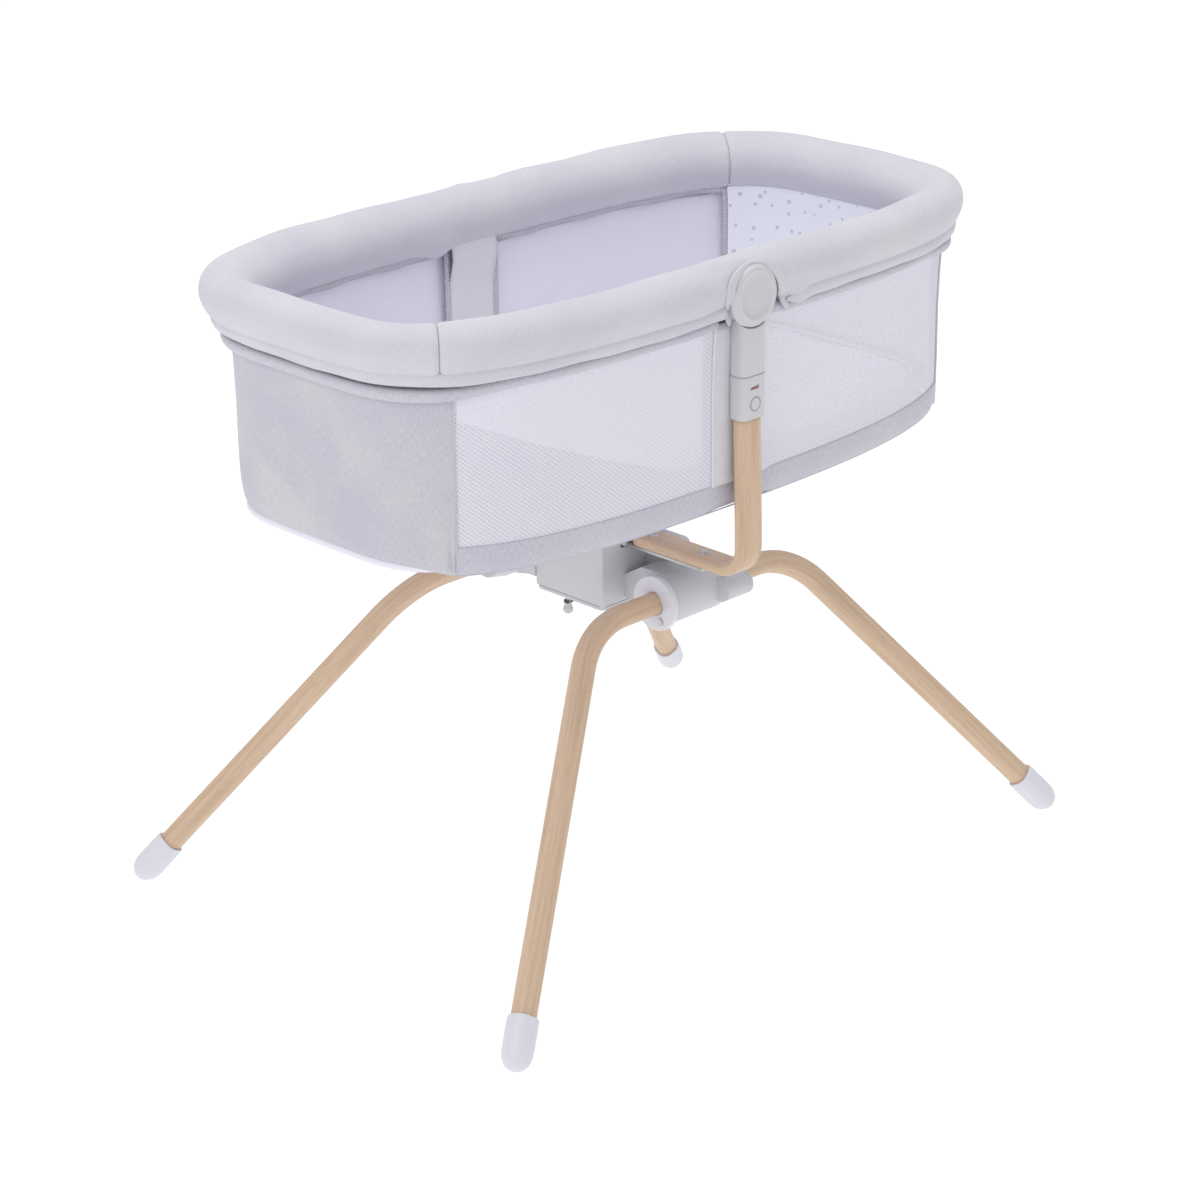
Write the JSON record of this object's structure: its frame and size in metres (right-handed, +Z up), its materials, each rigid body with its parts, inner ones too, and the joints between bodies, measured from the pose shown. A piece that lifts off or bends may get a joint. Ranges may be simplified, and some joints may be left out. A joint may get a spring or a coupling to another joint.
{
  "type": "bassinet on stand",
  "caption": "Lift-off fabric bassinet with mesh sides on two bentwood arms, a side-to-side glide box and a folding four-leg wooden stand.",
  "frame": {"origin": "on the floor, under the middle of the object's bounding box", "axes": "+X along the basket's length, +Y across it towards the side with no posted face in front view, +Z up"},
  "size_m": [0.924, 0.664, 0.7718],
  "materials": {
    "bentwood": "satin",
    "board": "matte",
    "grey_plastic": "satin",
    "foot_plastic": "satin",
    "black_plastic": "satin",
    "indicator": "gloss",
    "steel": "satin",
    "rim_fabric": "matte",
    "heather_fabric": "matte",
    "mesh_fabric": "matte",
    "dotted_liner": "matte",
    "floor_fabric": "matte",
    "mattress_cover": "matte"
  },
  "bodies": {
    "base": {"base_housing": "grey_plastic", "base_lid": "grey_plastic", "base_plate": "grey_plastic", "pivot_brackets": "steel", "upper_pins": "steel", "base_screws": "steel", "near_hinge_housing": "grey_plastic", "far_hinge_housing": "grey_plastic", "hinge_caps": "grey_plastic", "hinge_screws": "steel"},
    "glide_lock": {"lock_knob": "grey_plastic", "lock_lever": "black_plastic"},
    "near_leg_frame": {"near_axle": "steel", "near_collars": "grey_plastic", "near_left_leg": "bentwood", "near_right_leg": "bentwood", "near_left_foot": "foot_plastic", "near_right_foot": "foot_plastic", "near_leg_screws": "steel"},
    "far_leg_frame": {"far_axle": "steel", "far_collars": "grey_plastic", "far_left_leg": "bentwood", "far_right_leg": "bentwood", "far_left_foot": "foot_plastic", "far_right_foot": "foot_plastic", "far_leg_screws": "steel"},
    "near_link_pair": {"near_links": "steel", "near_link_shaft": "steel"},
    "far_link_pair": {"far_links": "steel", "far_link_shaft": "steel"},
    "carriage": {"carriage_frame": "steel", "arm_strap": "steel", "near_arm": "bentwood", "far_arm": "bentwood", "arm_bolts": "steel", "near_socket": "grey_plastic", "far_socket": "grey_plastic", "indicators": "indicator"},
    "near_release": {"near_button": "grey_plastic"},
    "far_release": {"far_button": "grey_plastic"},
    "basket": {"near_hub_arm": "grey_plastic", "far_hub_arm": "grey_plastic", "near_hub_housing": "grey_plastic", "far_hub_housing": "grey_plastic", "near_hub_disc": "grey_plastic", "far_hub_disc": "grey_plastic", "rim_tube_left": "steel", "rim_tube_right": "steel", "rim_pad_left": "rim_fabric", "rim_pad_right": "rim_fabric", "end_panel_left": "heather_fabric", "end_panel_right": "heather_fabric", "end_liners": "dotted_liner", "near_mesh": "mesh_fabric", "far_mesh": "mesh_fabric", "near_side_trim": "heather_fabric", "far_side_trim": "heather_fabric", "base_board": "board", "basket_floor": "floor_fabric", "mattress": "mattress_cover"}
  },
  "joints": [
    {"name": "near_leg_fold", "type": "hinge", "parent": "base", "child": "near_leg_frame", "pos_m": [0, -0.121, 0.352], "axis": [1, 0, 0], "range_deg": [0, 45]},
    {"name": "far_leg_fold", "type": "hinge", "parent": "base", "child": "far_leg_frame", "pos_m": [0, 0.121, 0.352], "axis": [-1, 0, 0], "range_deg": [0, 45]},
    {"name": "glide", "type": "hinge", "parent": "base", "child": "near_link_pair", "pos_m": [0, -0.022, 0.396], "axis": [1, 0, 0], "range_deg": [-20, 20]},
    {"name": "glide_far_link", "type": "hinge", "parent": "base", "child": "far_link_pair", "pos_m": [0, 0.022, 0.396], "axis": [1, 0, 0], "range_deg": [-20, 20]},
    {"name": "carriage_level", "type": "hinge", "parent": "near_link_pair", "child": "carriage", "pos_m": [0, -0.022, 0.346], "axis": [1, 0, 0], "range_deg": [-20, 20]},
    {"name": "glide_lock_turn", "type": "hinge", "parent": "base", "child": "glide_lock", "pos_m": [-0.045, 0.009, 0.32], "axis": [0, 0, 1], "range_deg": [0, 90]},
    {"name": "near_release_press", "type": "slide", "parent": "carriage", "child": "near_release", "axis": [0, 1, 0], "range_m": [0, 0.003], "stiffness_N_per_m": 400, "springref_m": -0.002},
    {"name": "far_release_press", "type": "slide", "parent": "carriage", "child": "far_release", "axis": [0, -1, 0], "range_m": [0, 0.003], "stiffness_N_per_m": 400, "springref_m": -0.002},
    {"name": "basket_lift_off", "type": "slide", "parent": "carriage", "child": "basket", "axis": [0, 0, 1], "range_m": [0, 0.12]}
  ],
  "couplings": [
    {"joint": "glide_far_link", "follows": "glide", "ratio": 1},
    {"joint": "carriage_level", "follows": "glide", "ratio": -1}
  ]
}
